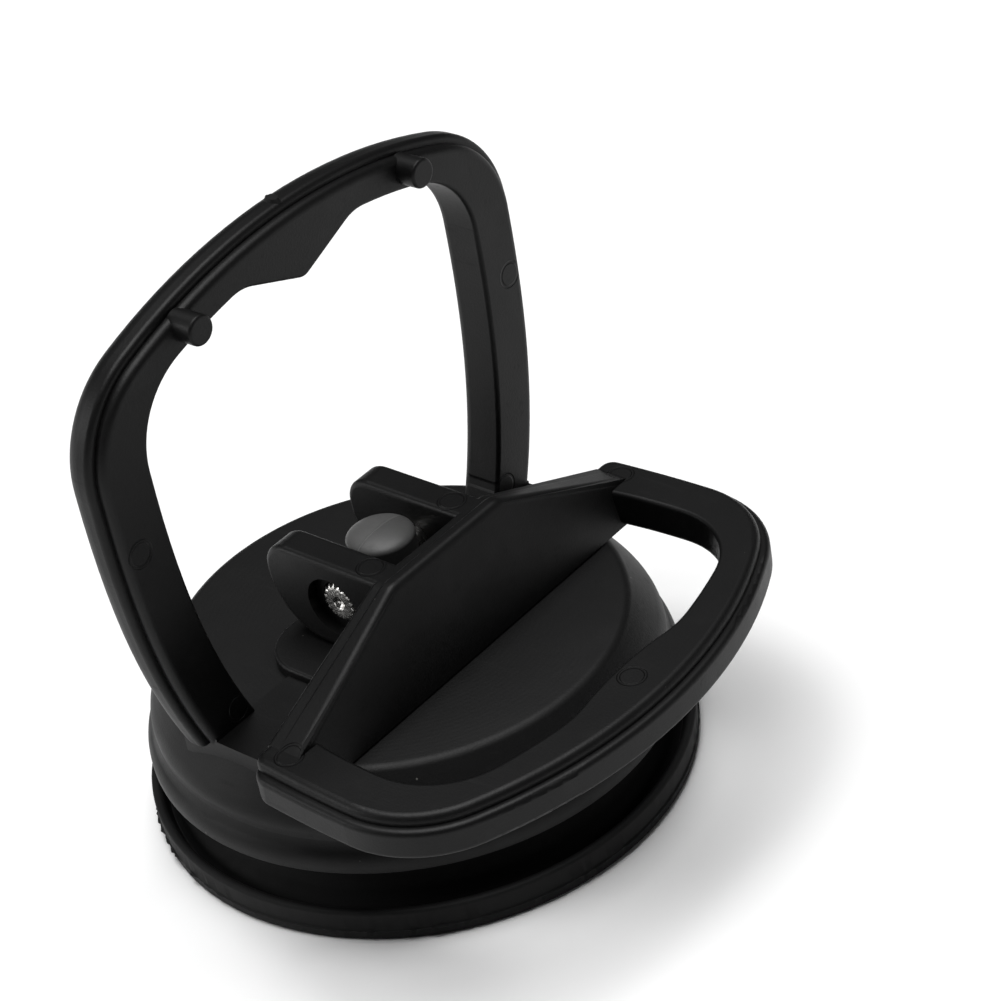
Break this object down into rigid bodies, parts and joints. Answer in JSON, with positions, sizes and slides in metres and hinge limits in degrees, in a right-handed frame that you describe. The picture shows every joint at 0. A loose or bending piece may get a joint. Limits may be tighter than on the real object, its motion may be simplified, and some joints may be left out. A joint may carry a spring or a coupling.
{
  "type": "vacuum suction cup",
  "caption": "Small lever-operated vacuum suction cup: rubber cup, hard pressure cap, upright finger grip and a hinged cam lever.",
  "frame": {"origin": "on the cup's axis, in the plane of its sealing lip", "axes": "+Z out of the gripped surface along the stem, +Y along the hinge pin, +X towards the open lever"},
  "size_m": [0.064, 0.0594, 0.0643],
  "materials": {
    "cup_rubber": "matte black rubber",
    "cap_plastic": "satin black plastic",
    "handle_plastic": "satin black plastic",
    "stem_plastic": "grey moulded plastic",
    "pin_steel": "bright turned steel with knurled ends"
  },
  "bodies": {
    "cap": {"pressure_cap": "cap_plastic", "suction_cup": "cup_rubber", "grip_handle": "handle_plastic"},
    "stem": {"stem": "stem_plastic", "hinge_pin": "pin_steel"},
    "lever": {"lever_handle": "handle_plastic"}
  },
  "joints": [
    {"name": "stem_lift", "type": "slide", "parent": "cap", "child": "stem", "axis": [0, 0, 1], "range_m": [0, 0.00364], "deforming": ["suction_cup"]},
    {"name": "lever_pivot", "type": "hinge", "parent": "stem", "child": "lever", "pos_m": [0, 0, 0.0239], "axis": [0, -1, 0], "range_deg": [0, 93.5]}
  ],
  "couplings": [
    {"joint": "stem_lift", "follows": "lever_pivot", "m_per_rad": 0.002228}
  ]
}
